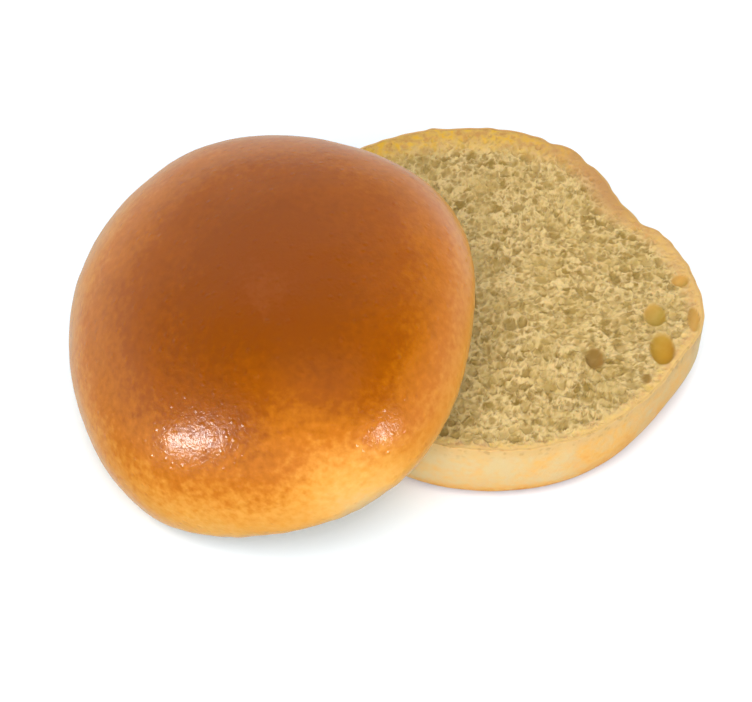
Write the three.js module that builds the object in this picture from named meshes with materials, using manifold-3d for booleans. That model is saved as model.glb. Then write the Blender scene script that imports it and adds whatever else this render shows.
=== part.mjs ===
// A soft glazed burger roll, cut through level into its two halves. The heel is the lower half and lies
// flat with its cut face up. The crown is the domed upper half: it has been slid off to the left, so that
// its cut face rests on the heel's rim and its lowest edge on the table.
// Lengths are in millimetres. +Z is up, +X runs from the crown towards the heel, and the origin is the
// middle of the footprint at table height.

import * as THREE from "three";
import { mergeVertices } from "three/addons/utils/BufferGeometryUtils.js";
import Module from "manifold-3d";

const degrees = THREE.MathUtils.degToRad;

// The whole roll
const ROLL_RADIUS = 53;
const CUT_SAG = 0.5;
const SAG_LENGTH = 9;
const SAG_START = 1;
const SIDES = 84;

// The heel
const HEEL_HEIGHT = 22;
const HEEL_FLAT_SHARE = 0.8;
const HEEL_WALL_POWER = 3;
const HEEL_WALL_STEPS = 9;
const HEEL_CUT_RINGS = 6;

// The crown
const CROWN_HEIGHT = 42;
const CROWN_WIDEST_HEIGHT = 5;
const CROWN_TUCK = 0.03;
const CROWN_DOME_POWER = 2.09;
const CROWN_DOME_STEPS = 15;
const CROWN_TUCK_STEPS = 2;
const CROWN_CUT_RINGS = 4;

// How the crown lies against the heel: the way it leans, how steeply, and the middle of its cut face
// measured from the middle of the heel. The table presses a small flat on its lowest edge.
const LEAN_TOWARD = degrees(197.5);
const LEAN_TILT = degrees(28.5);
const CROWN_FROM_HEEL = new THREE.Vector2(-46.8, -22.1);
const CROWN_FLAT_DEPTH = 0.6;

// Both outlines are circles with slow waves, because the dough rose unevenly. A wave goes COUNT times
// around, stands DEPTH of the radius proud, and has a crest TOWARD its angle.
const HEEL_WAVES = [
  { count: 2, depth: 0.027, toward: degrees(-55) },
  { count: 3, depth: 0.009, toward: degrees(55) },
];
const CROWN_WAVES = [
  { count: 2, depth: 0.046, toward: degrees(-50) },
  { count: 3, depth: 0.009, toward: degrees(10) },
  { count: 4, depth: 0.015, toward: degrees(33) },
  { count: 5, depth: 0.012, toward: degrees(19) },
];

// The heel's side is pressed in at one place and has a soft corner beside it.
const PRESSED_IN = { height: -6.4, toward: degrees(34.7), spread: degrees(16) };
const SOFT_CORNER = { height: 3.7, toward: degrees(-12.4), spread: degrees(14) };

// The large gas bubbles that the knife opened, measured from the middle of the heel's cut face
const BUBBLES = [
  { east: 44.3, north: -21.6, halfWidth: 3.2, halfLength: 5.4, depth: 2.6 },
  { east: 43.2, north: -10.6, halfWidth: 2.9, halfLength: 3.9, depth: 1.8 },
  { east: 27.8, north: -24.2, halfWidth: 2.4, halfLength: 3.6, depth: 2.4 },
  { east: 50.0, north: 0.3, halfWidth: 2.2, halfLength: 2.0, depth: 1.4 },
  { east: 52.4, north: -12.5, halfWidth: 1.6, halfLength: 4.2, depth: 0.9 },
  { east: 39.9, north: -31.1, halfWidth: 1.0, halfLength: 1.7, depth: 0.8 },
];
const BUBBLE_DETAIL = 2;

const wasm = await Module();
wasm.setup();

// The radius of a wavy circle, as a share of the plain circle's
function waved(angle, waves) {
  let share = 1;
  for (const wave of waves) {
    share += wave.depth * Math.cos(wave.count * (angle - wave.toward));
  }
  return share;
}

// How far a local swelling of an outline stands out at an angle
function swelling(angle, place) {
  const turn = angle - place.toward;
  const away = Math.atan2(Math.sin(turn), Math.cos(turn));
  return place.height * Math.exp(-((away / place.spread) ** 2));
}

function heelRim(angle) {
  const round = ROLL_RADIUS * waved(angle, HEEL_WAVES);
  return round + swelling(angle, PRESSED_IN) + swelling(angle, SOFT_CORNER);
}

function crownRim(angle) {
  return ROLL_RADIUS * waved(angle, CROWN_WAVES);
}

// The crumb settles a little away from the knife's plane, but not at the crust, where the reach is 1.
function sag(x, y, reach) {
  const swell = Math.sin(x / SAG_LENGTH + SAG_START) * Math.cos(y / SAG_LENGTH);
  return CUT_SAG * (1 - reach ** 2) * (0.5 + 0.5 * swell);
}

// A profile's points hold the reach, a share of the rim's radius, and the height. It runs from the axis
// below, out and up the side, to the axis above.
function heelProfile() {
  const points = [new THREE.Vector2(0, 0), new THREE.Vector2(HEEL_FLAT_SHARE / 2, 0)];
  for (let step = 0; step <= HEEL_WALL_STEPS; step += 1) {
    const turn = (Math.PI / 2) * (step / HEEL_WALL_STEPS);
    const outward = Math.sin(turn) ** (2 / HEEL_WALL_POWER);
    const below = Math.cos(turn) ** (2 / HEEL_WALL_POWER);
    const reach = HEEL_FLAT_SHARE + (1 - HEEL_FLAT_SHARE) * outward;
    points.push(new THREE.Vector2(reach, HEEL_HEIGHT * (1 - below)));
  }
  for (let ring = HEEL_CUT_RINGS - 1; ring >= 0; ring -= 1) {
    points.push(new THREE.Vector2(ring / HEEL_CUT_RINGS, HEEL_HEIGHT));
  }
  return points;
}

function crownProfile() {
  const points = [];
  for (let ring = 0; ring < CROWN_CUT_RINGS; ring += 1) {
    points.push(new THREE.Vector2(ring / CROWN_CUT_RINGS, 0));
  }
  for (let step = CROWN_TUCK_STEPS; step > 0; step -= 1) {
    const down = step / CROWN_TUCK_STEPS;
    points.push(new THREE.Vector2(1 - CROWN_TUCK * down ** 2, CROWN_WIDEST_HEIGHT * (1 - down)));
  }
  const rise = CROWN_HEIGHT - CROWN_WIDEST_HEIGHT;
  for (let step = 0; step < CROWN_DOME_STEPS; step += 1) {
    const turn = (Math.PI / 2) * (step / CROWN_DOME_STEPS);
    const outward = Math.cos(turn) ** (2 / CROWN_DOME_POWER);
    const upward = Math.sin(turn) ** (2 / CROWN_DOME_POWER);
    points.push(new THREE.Vector2(outward, CROWN_WIDEST_HEIGHT + rise * upward));
  }
  points.push(new THREE.Vector2(0, CROWN_HEIGHT));
  return points;
}

// A profile turned about +Z, then stretched out to its rim. Where the height is the cut's, the surface
// moves down by the sag, or up where the cut faces down.
function turnedToRim(profile, rim, cutHeight, sagDirection) {
  const geometry = new THREE.LatheGeometry(profile, SIDES);
  geometry.rotateX(Math.PI / 2);
  const place = geometry.getAttribute("position");
  for (let i = 0; i < place.count; i += 1) {
    const angle = Math.atan2(place.getY(i), place.getX(i));
    const reach = Math.hypot(place.getX(i), place.getY(i));
    const x = place.getX(i) * rim(angle);
    const y = place.getY(i) * rim(angle);
    const onCut = place.getZ(i) === Math.fround(cutHeight) && reach < 1 - CROWN_TUCK;
    const z = onCut ? cutHeight + sagDirection * sag(x, y, reach) : place.getZ(i);
    place.setXYZ(i, x, y, z);
  }
  return geometry;
}

// A solid from a closed geometry: its shared vertices are merged and triangles without area are left out.
function solidOf(geometry) {
  const bare = new THREE.BufferGeometry();
  bare.setAttribute("position", geometry.getAttribute("position"));
  bare.setIndex(geometry.getIndex());
  const merged = mergeVertices(bare);
  const corners = merged.getIndex().array;
  const kept = [];
  for (let i = 0; i < corners.length; i += 3) {
    const [a, b, c] = [corners[i], corners[i + 1], corners[i + 2]];
    if (a !== b && b !== c && c !== a) {
      kept.push(a, b, c);
    }
  }
  const vertProperties = merged.getAttribute("position").array;
  return new wasm.Manifold(new wasm.Mesh({ numProp: 3, vertProperties, triVerts: new Uint32Array(kept) }));
}

function geometryOf(solid) {
  const mesh = solid.getMesh();
  const geometry = new THREE.BufferGeometry();
  geometry.setAttribute("position", new THREE.BufferAttribute(mesh.vertProperties, 3));
  geometry.setIndex(new THREE.BufferAttribute(mesh.triVerts, 1));
  geometry.computeVertexNormals();
  return geometry;
}

// An opened gas bubble: an ellipsoid whose middle lies in the cut
function bubbleSolid(bubble) {
  const ball = new THREE.IcosahedronGeometry(1, BUBBLE_DETAIL);
  ball.scale(bubble.halfWidth, bubble.halfLength, bubble.depth);
  ball.translate(bubble.east, bubble.north, HEEL_HEIGHT);
  return solidOf(ball);
}

function makeHeel() {
  let solid = solidOf(turnedToRim(heelProfile(), heelRim, HEEL_HEIGHT, -1));
  for (const bubble of BUBBLES) {
    solid = solid.subtract(bubbleSolid(bubble));
  }
  const crumb = new THREE.MeshStandardMaterial({ color: 0xd0b070, roughness: 0.9, metalness: 0 });
  const heel = new THREE.Mesh(geometryOf(solid), crumb);
  heel.name = "heel";
  return heel;
}

// The turn that leans the crown over, and the height of its cut face's middle: the lowest point of the
// leaning shape goes under the table by the depth of the flat that the table presses on it.
function crownPose(geometry) {
  const hinge = new THREE.Vector3(-Math.sin(LEAN_TOWARD), Math.cos(LEAN_TOWARD), 0);
  const lean = new THREE.Quaternion().setFromAxisAngle(hinge, LEAN_TILT);
  const leaning = geometry.clone().applyQuaternion(lean);
  leaning.computeBoundingBox();
  const height = -leaning.boundingBox.min.z - CROWN_FLAT_DEPTH;
  return { lean, place: new THREE.Vector3(CROWN_FROM_HEEL.x, CROWN_FROM_HEEL.y, height) };
}

// The space below the table, brought into the crown's own upright frame
function belowTable(pose) {
  const size = 4 * ROLL_RADIUS;
  const box = new THREE.BoxGeometry(size, size, size).translate(0, 0, -size / 2);
  const toCrown = new THREE.Matrix4().compose(pose.place, pose.lean, new THREE.Vector3(1, 1, 1)).invert();
  return solidOf(box.applyMatrix4(toCrown));
}

function makeCrown() {
  const whole = turnedToRim(crownProfile(), crownRim, 0, 1);
  const pose = crownPose(whole);
  const solid = solidOf(whole).subtract(belowTable(pose));
  const crust = new THREE.MeshStandardMaterial({ color: 0xa85f1e, roughness: 0.35, metalness: 0 });
  const crown = new THREE.Mesh(geometryOf(solid), crust);
  crown.name = "crown";
  crown.quaternion.copy(pose.lean);
  crown.position.copy(pose.place);
  return crown;
}

// The roll on the table, moved so that the middle of its footprint is the origin
function makeRoll() {
  const halves = new THREE.Group();
  halves.add(makeHeel(), makeCrown());
  const box = new THREE.Box3().setFromObject(halves, true);
  const middle = box.getCenter(new THREE.Vector3());
  halves.position.set(-middle.x, -middle.y, 0);
  const roll = new THREE.Group();
  roll.add(halves);
  return roll;
}

export default makeRoll();
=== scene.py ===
# %% [markdown]
# # A sliced bread roll
# A soft burger roll is a ball of enriched dough that is brushed with egg and baked until its top is brown.
# This one has been cut through level. The heel, the bottom half, lies flat with its crumb up. The crown,
# the domed top half, leans on it. Each half is made of what a baker sees: a thin skin of crust, and the
# crumb inside. The measured solids are loaded first, because every piece has to stay inside them.

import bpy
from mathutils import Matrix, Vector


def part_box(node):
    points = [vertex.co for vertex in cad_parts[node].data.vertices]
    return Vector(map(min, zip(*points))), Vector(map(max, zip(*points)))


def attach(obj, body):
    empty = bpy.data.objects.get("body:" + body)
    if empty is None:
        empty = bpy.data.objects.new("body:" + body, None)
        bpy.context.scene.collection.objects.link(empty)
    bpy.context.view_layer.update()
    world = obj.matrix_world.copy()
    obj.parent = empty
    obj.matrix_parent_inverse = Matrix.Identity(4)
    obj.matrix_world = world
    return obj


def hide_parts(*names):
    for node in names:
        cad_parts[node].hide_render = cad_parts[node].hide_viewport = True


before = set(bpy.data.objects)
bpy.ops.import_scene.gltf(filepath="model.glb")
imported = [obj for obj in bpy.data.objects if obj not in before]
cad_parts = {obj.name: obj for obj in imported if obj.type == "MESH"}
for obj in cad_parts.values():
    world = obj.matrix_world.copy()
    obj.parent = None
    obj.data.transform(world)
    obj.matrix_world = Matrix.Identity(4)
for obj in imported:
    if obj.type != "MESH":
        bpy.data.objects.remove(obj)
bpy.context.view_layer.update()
heel_low, heel_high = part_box("heel")
crown_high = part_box("crown")[1]


def in_mm(sides, places=1):
    return [round(side * 1000, places) for side in sides]


# %% [markdown]
# ## The outlines
# Seen from above, neither half is a true circle. The dough rose unevenly, so each outline is a circle with
# a few slow waves. Waves are easy to name and to change: how often one goes round, how deep it is, and
# where its crest lies. The heel also has a place that was pressed in, a soft corner beside it, and a few
# nicks where the knife tore the crust.

# %% Sizes of the roll
# A wave is its count around, its depth as a share of the radius, and its crest's direction in degrees.
# A dent or nick is its height, its direction and its spread, both in degrees.
import math

import bpy
import numpy as np
from mathutils import Vector

MM = 0.001
ROLL_RADIUS = 53 * MM
HEEL_HEIGHT = heel_high.z - heel_low.z
HEEL_WAVES = [(2, 0.027, -55), (3, 0.009, 55)]
CROWN_WAVES = [(2, 0.046, -50), (3, 0.009, 10), (4, 0.015, 33), (5, 0.012, 19)]
HEEL_DENTS = [(-6.4 * MM, 34.7, 16), (3.7 * MM, -12.4, 14)]
HEEL_NICKS = [(-0.9 * MM, 67, 2.2), (-0.9 * MM, 54, 2.6), (-1.3 * MM, 25, 3.0), (0.5 * MM, 101, 1.5)]
HEEL_RAGGED_DEPTH = 0.13 * MM
CROWN_RAGGED_DEPTH = 0.07 * MM
RAGGED_COUNTS = (9, 80)
ROUND_STEPS, RISE_STEPS = 721, 181


def waved(angle, waves):
    """The radius at an angle, as a share of the plain radius."""
    return 1 + sum(depth * np.cos(count * (angle - math.radians(crest))) for count, depth, crest in waves)


def swellings(angle, places):
    """The sum of local swellings at an angle."""
    total = 0
    for height, toward, spread in places:
        turn = angle - math.radians(toward)
        away = np.arctan2(np.sin(turn), np.cos(turn)) / math.radians(spread)
        total = total + height * np.exp(-away * away)
    return total


def ragged(angle, depth, seed):
    """The small unevenness of an outline: many fast waves of random strength."""
    chance = np.random.default_rng(seed)
    counts = np.arange(*RAGGED_COUNTS)
    strengths = chance.normal(size=len(counts)) / np.sqrt(counts)
    starts = chance.uniform(0, 2 * np.pi, len(counts))
    shape = sum(s * np.cos(c * angle + start) for c, s, start in zip(counts, strengths, starts))
    return depth * shape / np.sqrt(0.5 * np.sum(strengths**2))


# %% The two outlines
def heel_outline(angle):
    return ROLL_RADIUS * waved(angle, HEEL_WAVES) + swellings(angle, HEEL_DENTS)


def crown_outline(angle):
    return ROLL_RADIUS * waved(angle, CROWN_WAVES)


def heel_tear(angle):
    return swellings(angle, HEEL_NICKS) + ragged(angle, HEEL_RAGGED_DEPTH, seed=3)


def crown_tear(angle):
    return ragged(angle, CROWN_RAGGED_DEPTH, seed=5)


def outline_below(angle):
    """The heel's outline while it is built upside down, which mirrors its angles."""
    return heel_outline(-angle)


def tear_below(angle):
    return heel_tear(-angle)


turn_round = np.linspace(0, 2 * np.pi, ROUND_STEPS)
heel_reach = heel_outline(turn_round)
heel_middle = Vector((heel_high.x - (heel_reach * np.cos(turn_round)).max(),
                      heel_high.y - (heel_reach * np.sin(turn_round)).max(), heel_low.z))
print("the middle of the heel is at", in_mm(heel_middle, 2), "mm")

# %% [markdown]
# ## The base of every piece
# All four pieces are round, closed bodies. A sphere or a fan of triangles has a pole where its faces bunch
# up, and fine relief looks wrong there. So each piece starts as a square sheet that is mapped to a disc,
# with faces of nearly one size everywhere. From the sheet's rim, rings run on to one hidden closing point,
# so that the body is closed. The mesh only carries numbers at this stage: how far each point is from the
# middle, in which direction, and whether it is on the hidden back.


# %% A round sheet and a closed body
def round_sheet(cells):
    """Reach and angle of a square grid mapped to the unit disc, its faces, and its rim in order."""
    side = np.linspace(-1, 1, cells + 1)
    across, along = np.meshgrid(side, side)
    wide = np.abs(across) > np.abs(along)
    signed = np.where(wide, across, along)
    safe = np.where(signed == 0, 1, signed)
    angle = np.where(wide, np.pi / 4 * along / safe, np.pi / 2 - np.pi / 4 * across / safe)
    east = (signed * np.cos(angle)).ravel()
    north = (signed * np.sin(angle)).ravel()
    number = np.arange((cells + 1) ** 2).reshape(cells + 1, cells + 1)
    corners = [number[:-1, :-1], number[:-1, 1:], number[1:, 1:], number[1:, :-1]]
    faces = np.stack([corner.ravel() for corner in corners], 1)
    rim = np.concatenate([number[0, :-1], number[:-1, -1], number[-1, :0:-1], number[:0:-1, 0]])
    return np.hypot(east, north), np.arctan2(north, east), faces, rim


def add_object(name, data):
    thing = bpy.data.objects.new(name, data)
    bpy.context.scene.collection.objects.link(thing)
    return thing


def closed_body(name, cells, back_reaches, outline, tear, flipped=False):
    """A sheet for the face that shows, and rings at the given reaches for its hidden back."""
    reach, angle, faces, rim = round_sheet(cells)
    face_count, around = len(reach), len(rim)
    rim_angle = angle[rim]
    loops = [rim] + [face_count + ring * around + np.arange(around) for ring in range(len(back_reaches))]
    last = face_count + len(back_reaches) * around
    walls = [np.stack([a, b, np.roll(b, -1), np.roll(a, -1)], 1) for a, b in zip(loops, loops[1:])]
    cap = np.stack([loops[-1], np.full(around, last), np.roll(loops[-1], -1)], 1)
    order = -1 if flipped else 1
    polygons = [list(face)[::order] for block in (faces, *walls, cap) for face in block.tolist()]
    reach = np.concatenate([reach, np.repeat(back_reaches, around), [0]])
    angle = np.concatenate([angle, np.tile(rim_angle, len(back_reaches)), [0]])
    back = (np.arange(len(reach)) >= face_count).astype(float)
    mesh = bpy.data.meshes.new(name)
    flat = np.stack([reach * np.cos(angle), reach * np.sin(angle), -back], 1)
    mesh.from_pydata(flat.tolist(), [], polygons)
    note_values(mesh, reach=reach, angle=angle, back=back, outline=outline(angle), tear=tear(angle))
    print(name, "starts with", len(reach), "points and", len(polygons), "faces")
    return add_object(name, mesh)


def note_values(mesh, **notes):
    """Writes named numbers on a mesh: one for each point, or the same one for all."""
    for label, values in notes.items():
        numbers = (np.zeros(len(mesh.vertices)) + values).astype(np.float32)
        mesh.attributes.new(label, "FLOAT", "POINT").data.foreach_set("value", numbers)


def read_values(mesh, label):
    values = np.empty(len(mesh.vertices), np.float32)
    mesh.attributes[label].data.foreach_get("value", values)
    return values


# %% [markdown]
# ## Small helpers for node trees
# Geometry and shader trees are both chains of small sums. A sum is easier to read as one line of code than
# as a node and its links, so these helpers add a node, link or set its inputs, and give back its result.


# %% Node helpers
def feed(tree, socket, term):
    """Links a socket's result to an input, or sets the input to a plain value."""
    if isinstance(term, bpy.types.NodeSocket):
        tree.links.new(term, socket)
    else:
        socket.default_value = term


def feed_named(tree, node, terms):
    """Feeds a node's inputs by their names, where _ stands for a space, and gives back its outputs."""
    for name, term in terms.items():
        feed(tree, node.inputs[name.replace("_", " ")], term)
    return node.outputs


def maths(tree, operation, *terms):
    node = tree.nodes.new("ShaderNodeMath")
    node.operation = operation
    for socket, term in zip(node.inputs, terms):
        feed(tree, socket, term)
    return node.outputs[0]


def plus(tree, first, second):
    return maths(tree, "ADD", first, second)


def minus(tree, first, second):
    return maths(tree, "SUBTRACT", first, second)


def times(tree, first, second):
    return maths(tree, "MULTIPLY", first, second)


def larger(tree, first, second):
    return maths(tree, "MAXIMUM", first, second)


def vector_maths(tree, operation, first, second):
    node = tree.nodes.new("ShaderNodeVectorMath")
    node.operation = operation
    feed(tree, node.inputs[0], first)
    feed(tree, node.inputs["Scale" if operation == "SCALE" else 1], second)
    return node.outputs["Vector"]


def node_with(tree, kind, result, settings=None, **inputs):
    """Adds a node, sets it up, feeds its named inputs and gives back the named result."""
    node = tree.nodes.new(kind)
    for name, value in (settings or {}).items():
        setattr(node, name, value)
    return feed_named(tree, node, inputs)[result]


def between(tree, value, low, high, low_result=0.0, high_result=1.0):
    """Maps a value from one range to another in a straight line and stops at the ends."""
    node = tree.nodes.new("ShaderNodeMapRange")
    for index, term in enumerate((value, low, high, low_result, high_result)):
        feed(tree, node.inputs[index], term)
    return node.outputs[0]


def noted(tree, label):
    """Reads a number that is noted on the mesh's points."""
    settings = {"data_type": "FLOAT"}
    return node_with(tree, "GeometryNodeInputNamedAttribute", "Attribute", settings, Name=label)


def joined(tree, x, y, z):
    return node_with(tree, "ShaderNodeCombineXYZ", "Vector", X=x, Y=y, Z=z)


def parted(tree, vector):
    node = tree.nodes.new("ShaderNodeSeparateXYZ")
    feed(tree, node.inputs[0], vector)
    return node.outputs


def noise(tree, place, scale, detail=2.0, result="Fac"):
    return node_with(tree, "ShaderNodeTexNoise", result, Vector=place, Scale=scale, Detail=detail)


def swing(tree, place, scale, detail=2.0):
    """Noise that goes both ways from nothing."""
    return minus(tree, noise(tree, place, scale, detail), 0.5)


def voronoi(tree, place, scale, feature="F1"):
    node = tree.nodes.new("ShaderNodeTexVoronoi")
    node.feature = feature
    return feed_named(tree, node, {"Vector": place, "Scale": scale})


def add_sockets(tree, way, sockets):
    for label, kind in sockets.items():
        tree.interface.new_socket(label, in_out=way, socket_type="NodeSocket" + kind)


def new_shape_tree(name, sockets):
    """A Geometry Nodes tree with a geometry input and output, and one named input for each size."""
    tree = bpy.data.node_groups.new(name, "GeometryNodeTree")
    add_sockets(tree, "INPUT", {"Geometry": "Geometry", **sockets})
    add_sockets(tree, "OUTPUT", {"Geometry": "Geometry"})
    start = tree.nodes.new("NodeGroupInput")
    end = tree.nodes.new("NodeGroupOutput")
    return tree, start.outputs, end.inputs["Geometry"]


# %% [markdown]
# ## The shape of one half, as a rule
# Both halves follow one rule, measured from the knife's cut. From the middle of its crust a half may be
# flat, as the heel's underside is. Then it turns over in a rounded corner, whose squareness is a number: 2
# is an ellipse, and more is squarer. Last, it may tuck in a little down to the cut. A rule like this
# belongs in Geometry Nodes, where its sizes stay open to change. Crust and crumb both use it, so they fit.

# %% The rule as a node group
TEAR_START = 0.9
RULE_SIZES = dict.fromkeys(["Height", "Widest Height", "Flat Share", "Flat Reach", "Turn Reach", "Tuck",
                            "Squareness"], "Float")
rule, sizes, rule_end = new_shape_tree(
    "half_of_a_roll", {**RULE_SIZES, "Face Inset": "Float", "Back Inset": "Float", "Face Is Cut": "Float"})
reach = noted(rule, "reach")
on_back = noted(rule, "back")
inset = plus(rule, sizes["Face Inset"],
             times(rule, on_back, minus(rule, sizes["Back Inset"], sizes["Face Inset"])))
at_edge = between(rule, reach, TEAR_START, 1.0)
outline = plus(rule, noted(rule, "outline"), times(rule, noted(rule, "tear"), at_edge))
radius = minus(rule, outline, inset)
top = minus(rule, minus(rule, sizes["Height"], inset), sizes["Widest Height"])
flat_part = between(rule, reach, 0.0, sizes["Flat Reach"])
turned = between(rule, reach, sizes["Flat Reach"], sizes["Turn Reach"], 0.0, math.pi / 2)
tucked = between(rule, reach, sizes["Turn Reach"], 1.0)

# %% The rounded corner and the tuck
sine = larger(rule, maths(rule, "SINE", turned), 0.0)
cosine = larger(rule, maths(rule, "COSINE", turned), 0.0)
power_sum = plus(rule, maths(rule, "POWER", sine, sizes["Squareness"]),
                 maths(rule, "POWER", cosine, sizes["Squareness"]))
corner_size = maths(rule, "POWER", power_sum, maths(rule, "DIVIDE", 1.0, sizes["Squareness"]))
corner_out = maths(rule, "DIVIDE", sine, corner_size)
corner_up = maths(rule, "DIVIDE", cosine, corner_size)
flat_out = times(rule, sizes["Flat Share"], flat_part)
turn_out = times(rule, corner_out, minus(rule, 1.0, sizes["Flat Share"]))
narrowing = times(rule, sizes["Tuck"], times(rule, tucked, tucked))
skin_out = times(rule, plus(rule, flat_out, turn_out), minus(rule, 1.0, narrowing))
skin_up = plus(rule, times(rule, top, corner_up),
               times(rule, sizes["Widest Height"], minus(rule, 1.0, tucked)))
cut_out = times(rule, reach, minus(rule, 1.0, sizes["Tuck"]))
is_cut = times(rule, sizes["Face Is Cut"], minus(rule, 1.0, on_back))
out = times(rule, radius, between(rule, is_cut, 0.0, 1.0, skin_out, cut_out))
up = between(rule, is_cut, 0.0, 1.0, skin_up, 0.0)
direction = noted(rule, "angle")
spot = joined(rule, times(rule, out, maths(rule, "COSINE", direction)),
              times(rule, out, maths(rule, "SINE", direction)), up)
shaped = node_with(rule, "GeometryNodeSetPosition", "Geometry", Geometry=sizes["Geometry"], Position=spot)
rule.links.new(shaped, rule_end)
print("the rule has", len(rule.nodes), "nodes")

# %% [markdown]
# ## Laying a half in its place
# The rule builds a half upright, with its cut at height nothing. The crown then leans over, and the heel is
# rolled right over, so that its cut faces up. The crown is heavy enough to press a small flat where its
# lowest edge meets the table, so no point may end up below the table.

# %% The lean and the place as a node group
LAY_SIZES = {"Turn Axis": "Vector", "Turn Angle": "Float", "Place": "Vector"}
lay, laying, lay_end = new_shape_tree("lay_in_place", LAY_SIZES)
upright = node_with(lay, "GeometryNodeInputPosition", "Position")
leaning = node_with(lay, "ShaderNodeVectorRotate", "Vector", {"rotation_type": "AXIS_ANGLE"},
                    Vector=upright, Axis=laying["Turn Axis"], Angle=laying["Turn Angle"])
carried = parted(lay, vector_maths(lay, "ADD", leaning, laying["Place"]))
resting = joined(lay, carried[0], carried[1], larger(lay, carried[2], 0.0))
laid = node_with(lay, "GeometryNodeSetPosition", "Geometry", Geometry=laying["Geometry"], Position=resting)
lay.links.new(laid, lay_end)

# %% [markdown]
# ## Crust as a skin
# Crust is a dried skin about half a millimetre thick over the soft dough. It isn't smooth: it has slow
# lumps from the way the dough was shaped, and small shallow dimples where steam lifted it. Both are noise
# that moves the surface along its normal. They fade out at the cut, where the knife left a clean edge, and
# on the flat underside, which was pressed on the tray. A sharp edge along the cut keeps the crust's shading
# from running into the hidden back.

# %% The crust tree
CRUST_SIZES = {**RULE_SIZES, "Skin": "Float", "Lump Depth": "Float", "Dimple Depth": "Float", **LAY_SIZES,
               "Finish": "Material"}
LUMP_SPACING = 26 * MM
DIMPLE_SPACING = 4.5 * MM
RELIEF_FROM_FLAT = 0.15
RELIEF_TO_CUT = 0.96
AT_CUT = 0.9995


def use_group(tree, group, geometry, inputs, **values):
    """Places a shape tree inside another, passes on its inputs of the same name and sets the others."""
    node = tree.nodes.new("GeometryNodeGroup")
    node.node_tree = group
    tree.links.new(geometry, node.inputs["Geometry"])
    for socket in node.inputs:
        label = socket.name.replace(" ", "_").lower()
        if label in values:
            feed(tree, socket, values[label])
        elif socket.name in inputs and socket.name != "Geometry":
            tree.links.new(inputs[socket.name], socket)
    return node.outputs["Geometry"]


def close_tree(tree, geometry, finish, end):
    """The last steps of a tree: smooth shading with a sharp cut edge, real geometry and its finish."""
    smooth = node_with(tree, "GeometryNodeSetShadeSmooth", "Geometry", Geometry=geometry)
    at_cut = maths(tree, "GREATER_THAN", noted(tree, "reach"), AT_CUT)
    edged = node_with(tree, "GeometryNodeSetShadeSmooth", "Geometry", {"domain": "EDGE"}, Geometry=smooth,
                      Selection=at_cut, Shade_Smooth=False)
    real = node_with(tree, "GeometryNodeRealizeInstances", "Geometry", Geometry=edged)
    finished = node_with(tree, "GeometryNodeSetMaterial", "Geometry", Geometry=real, Material=finish)
    tree.links.new(finished, end)
    return tree


tree, crust_in, crust_end = new_shape_tree("crust", CRUST_SIZES)
formed = use_group(tree, rule, crust_in["Geometry"], crust_in,
                   face_inset=0.0, back_inset=crust_in["Skin"], face_is_cut=0.0)
where = node_with(tree, "GeometryNodeInputPosition", "Position")
lumps = swing(tree, where, 1 / LUMP_SPACING)
dimples = swing(tree, where, 1 / DIMPLE_SPACING)
relief = plus(tree, times(tree, lumps, crust_in["Lump Depth"]),
              times(tree, dimples, crust_in["Dimple Depth"]))
past_flat = minus(tree, noted(tree, "reach"), crust_in["Flat Reach"])
has_no_flat = between(tree, crust_in["Flat Reach"], 0.0, 0.01, 1.0, 0.0)
off_flat = larger(tree, between(tree, past_flat, 0.0, RELIEF_FROM_FLAT), has_no_flat)
off_cut = between(tree, noted(tree, "reach"), RELIEF_TO_CUT, 1.0, 1.0, 0.0)
in_front = minus(tree, 1.0, noted(tree, "back"))
shown = times(tree, times(tree, off_flat, off_cut), in_front)
outward = node_with(tree, "GeometryNodeInputNormal", "Normal")
lift = vector_maths(tree, "SCALE", outward, times(tree, relief, shown))
uneven = node_with(tree, "GeometryNodeSetPosition", "Geometry", Geometry=formed, Offset=lift)
crust_laid = use_group(tree, lay, uneven, crust_in)
crust_tree = close_tree(tree, crust_laid, crust_in["Finish"], crust_end)
print("the crust tree has", len(crust_tree.nodes), "nodes")

# %% [markdown]
# ## Crumb as cut bubbles
# Crumb is a foam. The knife opens every bubble that its plane meets, and leaves the walls between them
# standing. A Voronoi texture gives just that: each of its feature points is the middle of a bubble with a
# radius of its own. A point of the cut sinks to the far wall of its bubble if the bubble reaches the
# knife's plane, and stays up near the border between two bubbles, where their wall is. Three sizes of
# bubble are used, the deepest one wins, and near the crust the crumb is denser, so bubbles shrink there.

# %% One size of bubble as a node group
OPENING_SOFTNESS = 0.2
WALL_SOFTNESS = 5.0
tree = bpy.data.node_groups.new("opened_bubbles", "GeometryNodeTree")
add_sockets(tree, "INPUT", {"Position": "Vector", "Spacing": "Float", "Openness": "Float",
                            "Least Size": "Float", "Wall": "Float"})
add_sockets(tree, "OUTPUT", {"Depth": "Float"})
bubble_in = tree.nodes.new("NodeGroupInput").outputs
bubble_scale = maths(tree, "DIVIDE", 1.0, bubble_in["Spacing"])
nearest = voronoi(tree, bubble_in["Position"], bubble_scale)
border = voronoi(tree, bubble_in["Position"], bubble_scale, "DISTANCE_TO_EDGE")
luck = parted(tree, nearest["Color"])
own_size = between(tree, luck[0], 0.0, 1.0, bubble_in["Least Size"], 1.0)
size_share = times(tree, bubble_in["Openness"], own_size)
bubble_radius = times(tree, bubble_in["Spacing"], size_share)
to_middle = vector_maths(tree, "SUBTRACT", nearest["Position"], bubble_in["Position"])
apart = parted(tree, to_middle)
flat_square = plus(tree, times(tree, apart[0], apart[0]), times(tree, apart[1], apart[1]))
chord_square = minus(tree, times(tree, bubble_radius, bubble_radius), flat_square)
half_chord = maths(tree, "SQRT", larger(tree, 0.0, chord_square))
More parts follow.
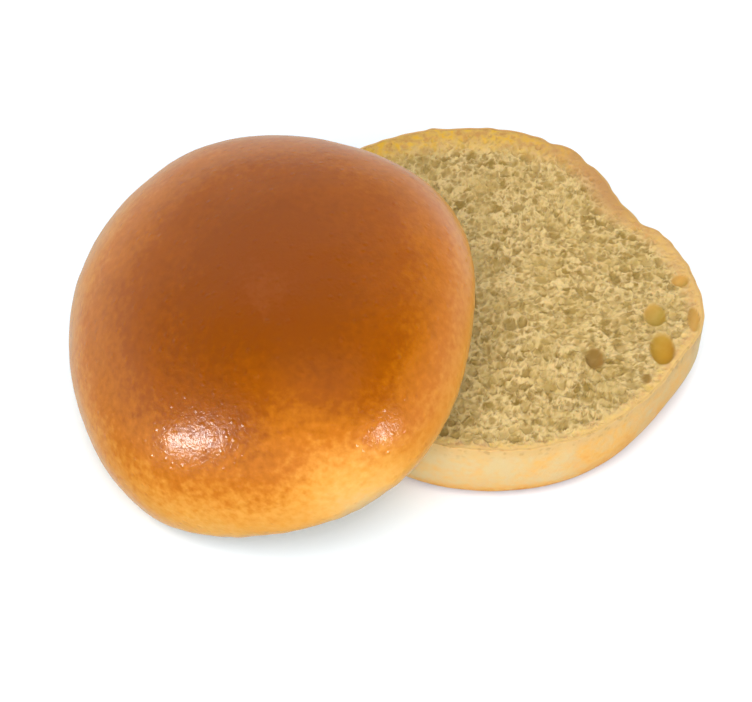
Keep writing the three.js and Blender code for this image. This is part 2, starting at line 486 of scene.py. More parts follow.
far_wall = larger(tree, 0.0, plus(tree, apart[2], half_chord))
opening = times(tree, bubble_in["Spacing"], OPENING_SOFTNESS)
reached = between(tree, minus(tree, half_chord, apart[2]), 0.0, opening)
wall_end = times(tree, bubble_in["Wall"], WALL_SOFTNESS)
standing = between(tree, border["Distance"], bubble_in["Wall"], wall_end)
hollow = times(tree, times(tree, far_wall, reached), standing)
tree.links.new(hollow, tree.nodes.new("NodeGroupOutput").inputs["Depth"])
bubbles = tree
print("the bubble group has", len(bubbles.nodes), "nodes")

# %% The crumb tree
# A layer is the name of its spacing, its smallest bubble's and its wall's share of it, and its depth share.
BUBBLE_LAYERS = [("Large Spacing", 0.1, 0.03, 1.0), ("Middle Spacing", 0.35, 0.04, 1.0),
                 ("Small Spacing", 0.5, 0.05, 0.6)]
CRUMB_SIZES = {**RULE_SIZES, "Inset": "Float", "Large Spacing": "Float", "Middle Spacing": "Float",
               "Small Spacing": "Float", "Most Depth": "Float", "Settling": "Float", **LAY_SIZES,
               "Finish": "Material"}
STRAY = 1.2 * MM
STRAY_SPACING = 2.4 * MM
SETTLING_SPACING = 15 * MM
FLUFF_DEPTH = 0.08 * MM
FLUFF_SPACING = 0.9 * MM
LEAST_OPEN = 0.3
FOAM_FADE = (0.97, 0.995, 1.0, 0.0)
SETTLING_FADE = (0.85, 1.0, 1.0, 0.0)
tree, crumb_in, crumb_end = new_shape_tree("crumb", CRUMB_SIZES)
cut = use_group(tree, rule, crumb_in["Geometry"], crumb_in,
                face_inset=crumb_in["Inset"], back_inset=crumb_in["Inset"], face_is_cut=1.0)
on_cut = node_with(tree, "GeometryNodeInputPosition", "Position")
astray = vector_maths(tree, "SUBTRACT", noise(tree, on_cut, 1 / STRAY_SPACING, result="Color"),
                      (0.5, 0.5, 0.5))
bent = vector_maths(tree, "ADD", on_cut, vector_maths(tree, "SCALE", astray, STRAY))
openness = between(tree, noted(tree, "dense"), 0.0, 1.0, 1.0, LEAST_OPEN)
foam = 0.0
for spacing, least_size, wall, depth_share in BUBBLE_LAYERS:
    layer = tree.nodes.new("GeometryNodeGroup")
    layer.node_tree = bubbles
    feed_named(tree, layer, {"Position": bent, "Spacing": crumb_in[spacing], "Openness": openness,
                             "Least Size": least_size, "Wall": wall})
    foam = larger(tree, foam, times(tree, layer.outputs["Depth"], depth_share))

# %% Limits, fluff and settling
limited = times(tree, foam, crumb_in["Most Depth"])
foam = maths(tree, "DIVIDE", limited, plus(tree, foam, crumb_in["Most Depth"]))
foam = times(tree, foam, between(tree, noted(tree, "reach"), *FOAM_FADE))
fluff = times(tree, noise(tree, on_cut, 1 / FLUFF_SPACING), FLUFF_DEPTH)
settled = times(tree, noise(tree, on_cut, 1 / SETTLING_SPACING), crumb_in["Settling"])
settled = times(tree, settled, between(tree, noted(tree, "reach"), *SETTLING_FADE))
gas_depth = noted(tree, "gas_depth")
sunk = larger(tree, plus(tree, foam, fluff), gas_depth)
plain_gas = between(tree, noted(tree, "gas"), 0.0, 1.0, sunk, gas_depth)
depth = times(tree, plus(tree, plain_gas, settled), minus(tree, 1.0, noted(tree, "back")))
pitted = node_with(tree, "GeometryNodeSetPosition", "Geometry", Geometry=cut,
                   Offset=joined(tree, 0.0, 0.0, depth))
pit_share = maths(tree, "DIVIDE", foam, crumb_in["Most Depth"])
marked = node_with(tree, "GeometryNodeStoreNamedAttribute", "Geometry", {"data_type": "FLOAT"},
                   Geometry=pitted, Name="pit", Value=pit_share)
crumb_laid = use_group(tree, lay, marked, crumb_in)
crumb_tree = close_tree(tree, crumb_laid, crumb_in["Finish"], crumb_end)
print("the crumb tree has", len(crumb_tree.nodes), "nodes")

# %% [markdown]
# ## Growing the pieces
# A tree does its work as a modifier. Its inputs are set by their identifiers, and the evaluated result is
# kept as a plain mesh, because a finished piece must not depend on a live modifier.


# %% Run a tree on a piece
def grow(piece, tree, values):
    """Runs a shape tree with the given values and keeps the result as the piece's own mesh."""
    modifier = piece.modifiers.new("grow", "NODES")
    modifier.node_group = tree
    for socket in tree.interface.items_tree:
        if socket.in_out == "INPUT" and socket.name in values:
            modifier[socket.identifier] = values[socket.name]
    depsgraph = bpy.context.evaluated_depsgraph_get()
    grown = bpy.data.meshes.new_from_object(piece.evaluated_get(depsgraph), depsgraph=depsgraph)
    piece.modifiers.clear()
    piece.data = grown
    grown.name = piece.name
    triangles = sum(len(face.vertices) - 2 for face in grown.polygons)
    print(piece.name, "has", triangles, "triangles")
    return piece


finishes = {name: bpy.data.materials.new(name) for name in ("crown_crust", "heel_crust", "crumb")}

# %% Sizes of the two halves
SKIN = 0.6 * MM
CRUMB_INSET = 0.45 * MM
CRUST_CELLS, CRUMB_CELLS = 270, 290
CROWN_LEAN_TOWARD = math.radians(197.5)
CROWN_LEAN = math.radians(28.5)
CROWN_FROM_HEEL = Vector((-46.8 * MM, -22.1 * MM))
crown_shape = {"Height": 42 * MM, "Widest Height": 5 * MM, "Flat Share": 0.0, "Flat Reach": 0.0,
               "Turn Reach": 0.92, "Tuck": 0.03, "Squareness": 2.09}
heel_shape = {"Height": HEEL_HEIGHT, "Widest Height": 0.0, "Flat Share": 0.8, "Flat Reach": 0.62,
              "Turn Reach": 1.0, "Tuck": 0.0, "Squareness": 3.0}

# %% [markdown]
# The heel's numbers are simple: it is turned over about X, and its cut ends at its full height. The crown's
# height above the table follows from the highest point of the measured solid, so it is worked out here from
# the rule itself: the highest point of the leaning dome has to reach the top of the measured box.

# %% Where the two halves lie
hinge = Vector((-math.sin(CROWN_LEAN_TOWARD), math.cos(CROWN_LEAN_TOWARD), 0))
rise = np.linspace(0, np.pi / 2, RISE_STEPS)
round_angle, rise_angle = np.meshgrid(turn_round, rise)
dome_power = crown_shape["Squareness"]
dome_out = ROLL_RADIUS * waved(round_angle, CROWN_WAVES) * np.cos(rise_angle) ** (2 / dome_power)
dome_rise = crown_shape["Height"] - crown_shape["Widest Height"]
dome_up = crown_shape["Widest Height"] + dome_rise * np.sin(rise_angle) ** (2 / dome_power)
toward_lean = dome_out * np.cos(round_angle - CROWN_LEAN_TOWARD)
leaned_up = dome_up * math.cos(CROWN_LEAN) - toward_lean * math.sin(CROWN_LEAN)
crown_place = Vector((heel_middle.x + CROWN_FROM_HEEL.x, heel_middle.y + CROWN_FROM_HEEL.y,
                      crown_high.z - leaned_up.max()))
crown_lie = {"Turn Axis": hinge, "Turn Angle": CROWN_LEAN, "Place": crown_place}
heel_lie = {"Turn Axis": Vector((1, 0, 0)), "Turn Angle": math.pi,
            "Place": Vector((heel_middle.x, heel_middle.y, HEEL_HEIGHT))}
print("the middle of the crown's cut is at", in_mm(crown_place, 2), "mm")

# %% [markdown]
# ## How far the oven browned each place
# The crown is darkest a little beside its top, where it stood nearest the heat, and golden at its rim. That
# is a distance from one warm spot, noted on each point before the shape is grown, with a few paler and
# browner sides. The heel is pale on its side, which faced its neighbours on the tray, and brown underneath.
# Freckles are noted too: they are strongest on the front of the crown. Each crust also has a toasted share,
# which says how brown its torn edge is.

# %% Grow the crown's crust
WARM_SPOT = np.array([0.2, -0.14])
PALE_SIDES = [(0.28, -67, 12), (0.16, 136, 24), (-0.06, 67, 25), (-0.08, 192, 18), (0.03, -30, 25),
              (-0.04, 12, 16), (0.03, -95, 30), (-0.07, -133, 16)]
LEAST_FRECKLED, FRECKLED_SIDES, FRECKLES_FADE = 0.18, [(0.2, -90, 60)], 0.15
CROWN_RIM_TOASTED = 0.6
SKIN_BACK = np.linspace(1, 0, 14, endpoint=False)
crown_crust = closed_body("crown_crust", CRUST_CELLS, SKIN_BACK, crown_outline, crown_tear)
crown_reach = read_values(crown_crust.data, "reach") / crown_shape["Turn Reach"]
crown_angle = read_values(crown_crust.data, "angle")
from_warm = np.hypot(crown_reach * np.cos(crown_angle) - WARM_SPOT[0],
                     crown_reach * np.sin(crown_angle) - WARM_SPOT[1])
from_heat = from_warm + crown_reach * swellings(crown_angle, PALE_SIDES)
below_rim = np.clip((1 - crown_reach) / FRECKLES_FADE, 0, 1)
freckled = LEAST_FRECKLED + below_rim * swellings(crown_angle, FRECKLED_SIDES)
note_values(crown_crust.data, from_heat=from_heat, freckled=freckled, toasted=CROWN_RIM_TOASTED)
grow(crown_crust, crust_tree, {**crown_shape, **crown_lie, "Skin": SKIN, "Lump Depth": 1.2 * MM,
                               "Dimple Depth": 0.12 * MM, "Finish": finishes["crown_crust"]})

# %% Grow the heel's crust
HEEL_RIM_TOASTED = [(0.55, 60, 60)]
UNDERSIDE_END, SIDE_START = 0.73, 0.85
UNDERSIDE_HEAT, SIDE_HEAT = 0.52, 1.22
BROWNER_SIDES = [(-0.25, 65, 45), (-0.19, -52, 25)]
heel_crust = closed_body("heel_crust", CRUST_CELLS, SKIN_BACK, outline_below, tear_below)
side_share = np.interp(read_values(heel_crust.data, "reach"), [UNDERSIDE_END, SIDE_START], [0, 1])
seen_angle = -read_values(heel_crust.data, "angle")
side_heat = SIDE_HEAT + swellings(seen_angle, BROWNER_SIDES)
heel_heat = UNDERSIDE_HEAT + side_share * (side_heat - UNDERSIDE_HEAT)
note_values(heel_crust.data, from_heat=heel_heat, toasted=swellings(seen_angle, HEEL_RIM_TOASTED))
grow(heel_crust, crust_tree, {**heel_shape, **heel_lie, "Skin": SKIN, "Lump Depth": 1.0 * MM,
                              "Dimple Depth": 0.15 * MM, "Finish": finishes["heel_crust"]})

# %% [markdown]
# ## The crumb and its large gas bubbles
# Near the crust the crumb is dense, and the band is widest at the back of the heel. The knife also opened a
# few gas bubbles that are much larger than the rest, with smooth golden to olive linings, and the brown
# tone of some linings is painted shade. There are only a handful, so each is given one by one: where it is,
# how large, and the tone of its lining.

# %% Dense crumb and gas bubbles as noted values
# Millimetres east and north of the middle, half width, half length and depth, and the tone of the lining;
# a tone near 0.4 is painted shade
GAS_BUBBLES = [(44.3, -21.6, 3.2, 5.4, 2.6, 0.95), (43.2, -10.6, 2.9, 3.9, 1.8, 0.75),
               (27.8, -24.2, 2.4, 3.6, 2.4, 0.4), (50.0, 0.3, 2.2, 2.0, 1.4, 0.62),
               (52.4, -12.5, 1.6, 4.2, 0.9, 0.55), (39.9, -31.1, 1.0, 1.7, 0.8, 0.4)]
GAS_END, GAS_FADE, GAS_ROUNDNESS = 1.05, 0.35, 0.7
LINING_LEAN = 0.08


def note_crumb(piece, outline, band_width, gas_bubbles, toasted):
    """Notes how dense the crumb is, and where the large gas bubbles are and how deep, on every point."""
    reach = read_values(piece.data, "reach")
    angle = read_values(piece.data, "angle")
    radius = reach * (outline(angle) - CRUMB_INSET)
    from_crust = outline(angle) - radius
    dense = np.clip(1 - from_crust / (band_width(angle) * MM), 0, 1)
    east, north = radius * np.cos(angle) / MM, radius * np.sin(angle) / MM
    gas_depth, gas, lining = np.zeros(len(reach)), np.zeros(len(reach)), np.zeros(len(reach))
    for bubble_east, bubble_north, half_width, half_length, deep, own_lining in gas_bubbles:
        aside, ahead = (east - bubble_east) / half_width, (north - bubble_north) / half_length
        share = aside**2 + ahead**2
        gas_depth = np.maximum(gas_depth, deep * MM * np.clip(1 - share, 0, 1) ** GAS_ROUNDNESS)
        gas = np.maximum(gas, np.clip((GAS_END - share) / GAS_FADE, 0, 1))
        lining = np.where(share < GAS_END, own_lining + LINING_LEAN * (aside + ahead), lining)
    band = np.clip(band_width(angle) / WIDEST_BAND, 0, 1)
    note_values(piece.data, dense=dense, band=band, toasted=toasted(angle), gas_depth=gas_depth, gas=gas,
                lining=lining)
    print(piece.name, "is dense on", round(float((dense > 0.5).mean()) * 100), "% of its points")


TOASTED_SIDES = [(1.0, 45, 22), (0.5, 0, 20)]
WIDEST_BAND = 10
CRUMB_BACK = np.linspace(0.985, 0, 6, endpoint=False)
CRUMB_SIZE = {"Inset": CRUMB_INSET, "Large Spacing": 2.9 * MM, "Middle Spacing": 1.9 * MM,
              "Small Spacing": 1.15 * MM, "Most Depth": 1.7 * MM, "Settling": 0.8 * MM,
              "Finish": finishes["crumb"]}
HEEL_BAND, HEEL_BAND_SWELL, HEEL_BAND_TOWARD = 7, 3, math.radians(105)
CROWN_BAND, CROWN_TOASTED = 6, 0.3

# %% Grow the heel's crumb
heel_crumb = closed_body("heel_crumb", CRUMB_CELLS, CRUMB_BACK, outline_below, tear_below, flipped=True)
turned_over = [(east, -north, *sizes_of_bubble) for east, north, *sizes_of_bubble in GAS_BUBBLES]
note_crumb(heel_crumb, outline_below,
           lambda angle: HEEL_BAND + HEEL_BAND_SWELL * np.cos(-angle - HEEL_BAND_TOWARD), turned_over,
           lambda angle: swellings(-angle, TOASTED_SIDES))
grow(heel_crumb, crumb_tree, {**heel_shape, **heel_lie, **CRUMB_SIZE})

# %% Grow the crown's crumb
crown_crumb = closed_body("crown_crumb", CRUMB_CELLS, CRUMB_BACK, crown_outline, crown_tear, flipped=True)
note_crumb(crown_crumb, crown_outline, lambda angle: CROWN_BAND, [], lambda angle: CROWN_TOASTED)
grow(crown_crumb, crumb_tree, {**crown_shape, **crown_lie, **CRUMB_SIZE})

# %% [markdown]
# ## Shared looks
# Crust and crumb share some effects, so each is a node group that is built once. Grain is the fine
# unevenness of anything baked, as one number for bump and colour. Fine pores are the openings that are too
# small to model; where they darken a colour, that is painted shade inside them. Oven colour turns how far a
# place was from the heat into the colours of browned dough, with soft blotches and freckles.


# %% Shader helpers
def new_look_group(name, inputs, outputs):
    tree = bpy.data.node_groups.new(name, "ShaderNodeTree")
    add_sockets(tree, "INPUT", inputs)
    add_sockets(tree, "OUTPUT", outputs)
    return tree, tree.nodes.new("NodeGroupInput").outputs, tree.nodes.new("NodeGroupOutput").inputs


def use_look(tree, group, **values):
    node = tree.nodes.new("ShaderNodeGroup")
    node.node_tree = group
    return feed_named(tree, node, values)


def from_screen(red, green, blue):
    """A colour as seen on a screen, 0 to 255, turned into the light values that shaders use."""
    light = [((c / 255 + 0.055) / 1.055) ** 2.4 if c > 10 else c / 255 / 12.92 for c in (red, green, blue)]
    return (*light, 1)


def ramp(tree, value, stops):
    """A colour for each stop, as (where, colour as seen on a screen)."""
    node = tree.nodes.new("ShaderNodeValToRGB")
    bar = node.color_ramp
    while len(bar.elements) < len(stops):
        bar.elements.new(0.5)
    for element, (where, colour) in zip(bar.elements, stops):
        element.position = where
        element.color = from_screen(*colour)
    feed(tree, node.inputs[0], value)
    return node.outputs[0]


# %% The grain and fine pores groups
SPACED = {"Place": "Vector", "Spacing": "Float"}
PORE_STRAY = 0.9
PORE_RADII = (0.2, 0.6)
PORE_SOFTNESS = 0.25
grain, grain_in, grain_out = new_look_group("grain", SPACED, {"Grain": "Float"})
grain_scale = maths(grain, "DIVIDE", 1.0, grain_in["Spacing"])
grain.links.new(noise(grain, grain_in["Place"], grain_scale, detail=4.0), grain_out["Grain"])

tree, pores_in, pores_out = new_look_group("fine_pores", SPACED, {"Pore": "Float"})
pore_scale = maths(tree, "DIVIDE", 1.0, pores_in["Spacing"])
pore_noise = noise(tree, pores_in["Place"], pore_scale, result="Color")
pore_stray = vector_maths(tree, "SCALE", pore_noise, times(tree, pores_in["Spacing"], PORE_STRAY))
strayed = vector_maths(tree, "ADD", pores_in["Place"], pore_stray)
pore_cells = voronoi(tree, strayed, pore_scale)
pore_luck = parted(tree, pore_cells["Color"])[0]
pore_radius = between(tree, pore_luck, 0.0, 1.0, *PORE_RADII)
inside_pore = minus(tree, pore_radius, pore_cells["Distance"])
pore_mask = between(tree, inside_pore, 0.0, PORE_SOFTNESS)
tree.links.new(pore_mask, pores_out["Pore"])
fine_pores = tree

# %% The oven colour group
BLOTCHES_PER_METRE = 110.0
FRECKLE_SPACING = 1.8 * MM
tree, browning_in, browning_out = new_look_group(
    "oven_colour", {"Place": "Vector", "From Heat": "Float", "Blotch": "Float", "Freckle": "Float"},
    {"Color": "Color"})
blotches = swing(tree, browning_in["Place"], BLOTCHES_PER_METRE, detail=5.0)
freckles = swing(tree, browning_in["Place"], 1 / FRECKLE_SPACING)
uneven_heat = plus(tree, times(tree, blotches, browning_in["Blotch"]),
                   times(tree, freckles, browning_in["Freckle"]))
amount = plus(tree, browning_in["From Heat"], uneven_heat)
HEAT_RANGE = 1.25
BROWNED = [(0.0, (130, 66, 20)), (0.08, (125, 61, 8)), (0.2, (128, 63, 3)), (0.36, (145, 74, 1)),
           (0.44, (166, 92, 5)), (0.52, (182, 104, 16)), (0.6, (200, 127, 38)), (0.68, (211, 145, 56)),
           (0.8, (219, 163, 82)), (1.0, (205, 176, 124))]
heat_share = maths(tree, "DIVIDE", amount, HEAT_RANGE)
tree.links.new(ramp(tree, heat_share, BROWNED), browning_out["Color"])
browning = tree
print("shared looks:", grain.name, fine_pores.name, "and", browning.name)

# %% [markdown]
# Where the knife left the crust it tore a little of it away, so crumb shows past the crust's edge in an
# uneven line. This group fades any crust colour into torn crumb near the cut. It reads the reach, which is
# 1 at the cut.

# %% The torn edge group
CRUMB_EDGE = from_screen(204, 166, 106)
TOASTED_EDGE = from_screen(156, 108, 54)
# Painted shade in the torn crumb's fine pores.
CRUMB_PORE_SHADE = from_screen(152, 118, 62)
TEAR_SPACING = 2.2 * MM
TEAR_STRAY = 0.045
TORN_PORE_SPACING = 1.6 * MM
TORN_PORE_SHARE = 0.35


def blend(tree, share, first, second):
    """Goes from the first colour to the second as the share goes from 0 to 1."""
    node = tree.nodes.new("ShaderNodeMix")
    node.data_type = "RGBA"
    feed(tree, node.inputs["Factor"], share)
    feed(tree, node.inputs[6], first)
    feed(tree, node.inputs[7], second)
    return node.outputs[2]


tree, torn_in, torn_out = new_look_group(
    "torn_edge", {"Place": "Vector", "Reach": "Float", "Start": "Float", "Softness": "Float",
                  "Toasted": "Float", "Crust": "Color"}, {"Color": "Color"})
tear_noise = swing(tree, torn_in["Place"], 1 / TEAR_SPACING, detail=3.0)
torn_reach = plus(tree, torn_in["Reach"], times(tree, tear_noise, TEAR_STRAY))
torn_end = plus(tree, torn_in["Start"], torn_in["Softness"])
torn_share = between(tree, torn_reach, torn_in["Start"], torn_end)
torn_pores = use_look(tree, fine_pores, Place=torn_in["Place"], Spacing=TORN_PORE_SPACING)["Pore"]
torn_pore_share = times(tree, torn_pores, TORN_PORE_SHARE)
torn_crumb = blend(tree, torn_pore_share, CRUMB_EDGE, CRUMB_PORE_SHADE)
torn_crumb = blend(tree, torn_in["Toasted"], torn_crumb, TOASTED_EDGE)
tree.links.new(blend(tree, torn_share, torn_in["Crust"], torn_crumb), torn_out["Color"])
torn_edge = tree
print("the torn edge group has", len(torn_edge.nodes), "nodes")

# %% [markdown]
# ## The crown's glaze
# Egg wash dries to a thin gloss over browned crust. The gloss is on top of the colour, so it is the
# shader's own reflection and not painted white. A fine grain and a few small pimples break it up. Light
# also goes a little way into bread and comes out softer, so the material has some subsurface scattering.


# %% The crown's crust material
def start_finish(material):
    material.use_nodes = True
    tree = material.node_tree
    shader = tree.nodes["Principled BSDF"]
    place = node_with(tree, "ShaderNodeTexCoord", "Object")
    return tree, shader, place


def note_in(tree, label):
    return node_with(tree, "ShaderNodeAttribute", "Fac", {"attribute_name": label})


def bump(tree, height, distance, strength=1.0):
    return node_with(tree, "ShaderNodeBump", "Normal", Height=height, Distance=distance, Strength=strength)


def set_body(shader, roughness, mirror, softness, soft_colour, soft_depth):
    """How rough the surface is, how much it mirrors, and how light goes into the body and softens there."""
    for name, value in {"Roughness": roughness, "Specular IOR Level": mirror, "Subsurface Weight": softness,
                        "Subsurface Radius": soft_colour, "Subsurface Scale": soft_depth}.items():
        shader.inputs[name].default_value = value


SKIN_RELIEF = 0.11 * MM
PIMPLE_SPACING = 2.4 * MM
PIMPLE_RADIUS = 0.3
LEAST_PIMPLE_LUCK = 0.35
GRAIN_SHARE = 0.75
tree, shader, place = start_finish(finishes["crown_crust"])
baked = use_look(tree, browning, Place=place, From_Heat=note_in(tree, "from_heat"), Blotch=0.15,
                 Freckle=note_in(tree, "freckled"))
torn = use_look(tree, torn_edge, Place=place, Reach=note_in(tree, "reach"), Start=0.99, Softness=0.012,
                Toasted=note_in(tree, "toasted"), Crust=baked["Color"])
feed(tree, shader.inputs["Base Color"], torn["Color"])
skin_grain = use_look(tree, grain, Place=place, Spacing=0.8 * MM)["Grain"]
pimple_cells = voronoi(tree, place, 1 / PIMPLE_SPACING)
pimples = between(tree, pimple_cells["Distance"], 0.0, PIMPLE_RADIUS, 1.0, 0.0)
lucky = maths(tree, "GREATER_THAN", parted(tree, pimple_cells["Color"])[0], LEAST_PIMPLE_LUCK)
skin_height = plus(tree, times(tree, skin_grain, GRAIN_SHARE), times(tree, pimples, lucky))
feed(tree, shader.inputs["Normal"], bump(tree, skin_height, SKIN_RELIEF))
set_body(shader, roughness=0.21, mirror=0.35, softness=0.2, soft_colour=(1.0, 0.35, 0.1),
         soft_depth=1.2 * MM)

# %% [markdown]
# ## The heel's side
# No egg was brushed on the heel, so its side is matt. It is pale where it touched its neighbours, with
# golden blotches where hot air still reached it, and it scatters more light than the browned crown.

# %% The heel's crust material
tree, shader, place = start_finish(finishes["heel_crust"])
baked = use_look(tree, browning, Place=place, From_Heat=note_in(tree, "from_heat"), Blotch=0.6,
                 Freckle=0.35)
torn = use_look(tree, torn_edge, Place=place, Reach=note_in(tree, "reach"), Start=0.955, Softness=0.035,
                Toasted=note_in(tree, "toasted"), Crust=baked["Color"])
feed(tree, shader.inputs["Base Color"], torn["Color"])
side_grain = use_look(tree, grain, Place=place, Spacing=1.8 * MM)["Grain"]
feed(tree, shader.inputs["Normal"], bump(tree, side_grain, 0.2 * MM))
set_body(shader, roughness=0.6, mirror=0.3, softness=0.4, soft_colour=(1.0, 0.5, 0.2),
         soft_depth=2 * MM)

# %% [markdown]
# ## The crumb's colours
# Bubble walls catch the light and pits lie in shade, so the colour is painted darker with the depth that
# the
# tree noted: this is painted shade, and the fine pores are painted dark for their shade too.
# Soft clouds keep the crumb from looking even. Towards the crust a dense band takes over, pale where it is
# narrow and yellow where it is wide, with toasted places. The large gas bubbles have their linings, and the
# darkest lining tone is painted shade.

# %% Colours of the crumb
# Painted shade: the foam goes from lit bubble walls to darker, shaded pits as its noted depth grows.
FOAM_WITH_PIT_SHADE = [(0.0, (206, 181, 128)), (0.6, (140, 115, 60))]
# Painted shade in fine pores that are too small to model.
PORE_SHADE_COLOUR = from_screen(143, 118, 64)
# The lowest lining tone is painted shade in a deep bubble; the higher tones are the linings' own colours.
LINING_TONES_AND_SHADE = [(0.4, (134, 104, 52)), (0.58, (190, 146, 74)), (0.78, (160, 132, 58)), (1.0, (174, 128, 32))]
LINING_SHARE = 0.9
EDGE_COLOUR = from_screen(216, 178, 112)
TOASTED_COLOUR = from_screen(176, 134, 86)
PALE_BAND = [(0.36, (190, 148, 98)), (0.5, (206, 174, 116)), (0.64, (214, 180, 104))]
YELLOW_BAND = [(0.36, (178, 136, 78)), (0.5, (192, 156, 86)), (0.62, (204, 162, 60))]
DENSE_SPACING = 2.2 * MM
PORE_SPACING = 1.4 * MM
CLOUD_COLOUR = from_screen(178, 152, 94)
CLOUD_SPACING = 7 * MM

# %% How far each colour reaches
# Each is from where to where, and the two numbers that may follow are the shares at both ends.
CLOUDED = (0.4, 0.65, 0.0, 0.6)
OPEN = (0.0, 0.8, 0.7, 0.35)
OPEN_IN_CLOUDS = (0.35, 0.65, 1.0, 0.5)
DENSE = (0.1, 0.7)
AT_CRUST = (0.55, 0.95)
NARROW_BAND = (0.5, 0.8, 1.0, 0.0)
WIDE_BAND = (0.6, 0.95)

# %% The crumb material
tree, shader, place = start_finish(finishes["crumb"])
pores = use_look(tree, fine_pores, Place=place, Spacing=PORE_SPACING)["Pore"]
# Painted shade in the pits, darker with depth.
shaded_foam = ramp(tree, note_in(tree, "pit"), FOAM_WITH_PIT_SHADE)
clouds = use_look(tree, grain, Place=place, Spacing=CLOUD_SPACING)["Grain"]
shaded_foam = blend(tree, between(tree, clouds, *CLOUDED), shaded_foam, CLOUD_COLOUR)
not_gas = minus(tree, 1.0, note_in(tree, "gas"))
open_share = times(tree, between(tree, note_in(tree, "dense"), *OPEN), not_gas)
pore_share = times(tree, open_share, between(tree, clouds, *OPEN_IN_CLOUDS))
# Painted shade in the fine pores.
shaded_foam = blend(tree, times(tree, pores, pore_share), shaded_foam, PORE_SHADE_COLOUR)
dense_share = between(tree, note_in(tree, "dense"), *DENSE)
at_crust = times(tree, between(tree, note_in(tree, "dense"), *AT_CRUST),
                 between(tree, note_in(tree, "band"), *NARROW_BAND))
dense_speckle = use_look(tree, grain, Place=place, Spacing=DENSE_SPACING)["Grain"]
at_back = between(tree, note_in(tree, "band"), *WIDE_BAND)
pale, yellow = ramp(tree, dense_speckle, PALE_BAND), ramp(tree, dense_speckle, YELLOW_BAND)
band_colour = blend(tree, at_back, pale, yellow)
band_colour = blend(tree, note_in(tree, "toasted"), band_colour, TOASTED_COLOUR)
crumb_colour = blend(tree, dense_share, shaded_foam, band_colour)
crumb_colour = blend(tree, at_crust, crumb_colour, EDGE_COLOUR)
lining_share = times(tree, note_in(tree, "gas"), LINING_SHARE)
# The linings, whose darkest tone is painted shade.
crumb_colour = blend(tree, lining_share, crumb_colour, ramp(tree, note_in(tree, "lining"), LINING_TONES_AND_SHADE))
feed(tree, shader.inputs["Base Color"], crumb_colour)
crumb_relief = times(tree, pores, times(tree, open_share, -1.0))
feed(tree, shader.inputs["Normal"], bump(tree, crumb_relief, 0.3 * MM))
set_body(shader, roughness=0.85, mirror=0.2, softness=0.5, soft_colour=(1.0, 0.6, 0.25),
         soft_depth=1.2 * MM)

# %% [markdown]
# ## Tying the pieces to the measured solids
# Each half's crust stands for its solid, and its crumb goes with it. Both ride on the one body.

# %% Replace the solids
for piece, node, slot in ((crown_crust, "crown", "crust"), (crown_crumb, "crown", "crumb"),
                          (heel_crust, "heel", "crust"), (heel_crumb, "heel", "crumb")):
    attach(piece, "root")
    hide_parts(node)

# %% [markdown]
# ## Floor, light and camera
# The roll lies on a plain white ground, so bright that its own shadow nearly goes. The ground isn't
# mirrored in the glaze. Two low windows in front make the two highlights on the crown, so they are lights
# that only show in the shine. A pale surround gives soft light from all sides, and is brighter behind and
# at the right for the shine alone, where the crown's far edge has its sheen.

# %% The floor
FLOOR_SIDE = 6.0
floor_mesh = bpy.data.meshes.new("floor")
half = FLOOR_SIDE / 2
corners = [(-half, -half, 0), (half, -half, 0), (half, half, 0), (-half, half, 0)]
floor_mesh.from_pydata(corners, [], [(0, 1, 2, 3)])
floor = add_object("floor", floor_mesh)
floor_finish = bpy.data.materials.new("pale_floor")
tree, shader, place = start_finish(floor_finish)
shader.inputs["Base Color"].default_value = (0.86, 0.93, 0.99, 1)
shader.inputs["Roughness"].default_value = 0.9
floor_mesh.materials.append(floor_finish)
floor.visible_glossy = False

# %% The lights
AIM = Vector((0, 0, 40 * MM))
# Azimuth and elevation in degrees, distance and sides in metres, power in watts, and if only shine shows
# it. Azimuth 0 is in front, and 90 is to the right.
LIGHTS = [("left_window", -55, 3, 1.6, (0.09, 0.17), 9, True),
          ("right_window", 38, 7, 1.6, (0.19, 0.19), 6.5, True),
          ("overhead", -4, 52, 3.0, (2.5, 2.5), 142, False),
          ("from_behind", 170, 55, 3.0, (2.8, 2.8), 35, False)]

for name, azimuth, elevation, distance, sides, power, only_shine in LIGHTS:
    turn, lift = math.radians(azimuth), math.radians(elevation)
    way = Vector((math.sin(turn) * math.cos(lift), -math.cos(turn) * math.cos(lift), math.sin(lift)))
    lamp = bpy.data.lights.new(name, "AREA")
    lamp.shape = "RECTANGLE"
    lamp.size, lamp.size_y = sides
    lamp.energy = power
    holder = add_object(name, lamp)
    holder.visible_glossy = only_shine
    holder.visible_diffuse = not only_shine
    holder.location = AIM + way * distance
    holder.rotation_mode = "QUATERNION"
    holder.rotation_quaternion = (-way).to_track_quat("-Z", "Y")
print("lights:", [light[0] for light in LIGHTS])

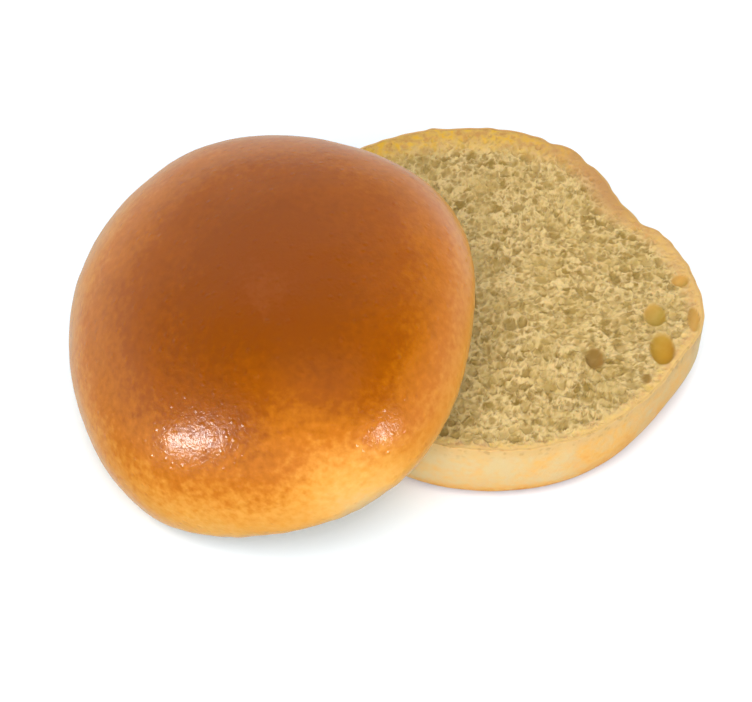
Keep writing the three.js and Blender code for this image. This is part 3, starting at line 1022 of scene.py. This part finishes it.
# %% The surround
BELOW_HORIZON = (-0.38, -0.18, 0.1, 0.85)
ABOVE_HORIZON = (0.1, 0.6, 0.8, 0.06)
SHINE_BEHIND = (-0.1, 0.5, 0.0, 0.68)
SHINE_ASIDE_EAST = (0.3, 0.6, 0.0, 0.5)
SHINE_ASIDE_NORTH = (0.4, 0.7)
world = bpy.data.worlds.new("pale_room")
world.use_nodes = True
sky = world.node_tree
sky_east, sky_north, sky_height = parted(sky, node_with(sky, "ShaderNodeTexCoord", "Generated"))
sky_light = maths(sky, "MINIMUM", between(sky, sky_height, *BELOW_HORIZON),
                  between(sky, sky_height, *ABOVE_HORIZON))
in_shine = node_with(sky, "ShaderNodeLightPath", "Is Glossy Ray")
shine_behind = times(sky, between(sky, sky_north, *SHINE_BEHIND), in_shine)
shine_aside = times(sky, between(sky, sky_east, *SHINE_ASIDE_EAST),
                    times(sky, between(sky, sky_north, *SHINE_ASIDE_NORTH), in_shine))
sky_light = plus(sky, larger(sky, sky_light, shine_behind), shine_aside)
feed(sky, sky.nodes["Background"].inputs["Strength"], sky_light)
sky.nodes["Background"].inputs["Color"].default_value = (1, 1, 1, 1)
bpy.context.scene.world = world
bpy.context.scene.view_settings.view_transform = "Standard"

# %% [markdown]
# ## The camera
# The camera stands in front and looks down steeply. Its angle and its lens came from a fit of both
# outlines. The lens is given by how far away the camera is and how many pixels a metre takes up there.

# %% The camera
VIEW_ELEVATION = math.radians(48)
VIEW_DISTANCE = 0.7
PIXELS_PER_METRE = 4045
SENSOR_WIDTH = 36
FRAME_WIDTH, FRAME_HEIGHT = 752, 702
FOCUS_PIXEL = (374.8, 299.8)
FOCUS_WEST, FOCUS_HEIGHT = 24.9 * MM, 15 * MM
focus = Vector((heel_middle.x - FOCUS_WEST, heel_middle.y, FOCUS_HEIGHT))
camera_back = Vector((0, -math.cos(VIEW_ELEVATION), math.sin(VIEW_ELEVATION)))
camera_up = Vector((0, math.sin(VIEW_ELEVATION), math.cos(VIEW_ELEVATION)))
centre = focus + Vector(((FRAME_WIDTH / 2 - FOCUS_PIXEL[0]) / PIXELS_PER_METRE, 0, 0))
centre -= camera_up * ((FRAME_HEIGHT / 2 - FOCUS_PIXEL[1]) / PIXELS_PER_METRE)
camera = add_object("camera", bpy.data.cameras.new("camera"))
camera.location = focus + camera_back * VIEW_DISTANCE
camera.rotation_mode = "QUATERNION"
camera.rotation_quaternion = (centre - camera.location).to_track_quat("-Z", "Y")
camera.data.sensor_width = SENSOR_WIDTH
camera.data.lens = SENSOR_WIDTH * PIXELS_PER_METRE * VIEW_DISTANCE / FRAME_WIDTH
bpy.context.scene.camera = camera
print("the camera's lens is", round(camera.data.lens, 1), "mm")

# %% Update the scene
bpy.context.view_layer.update()
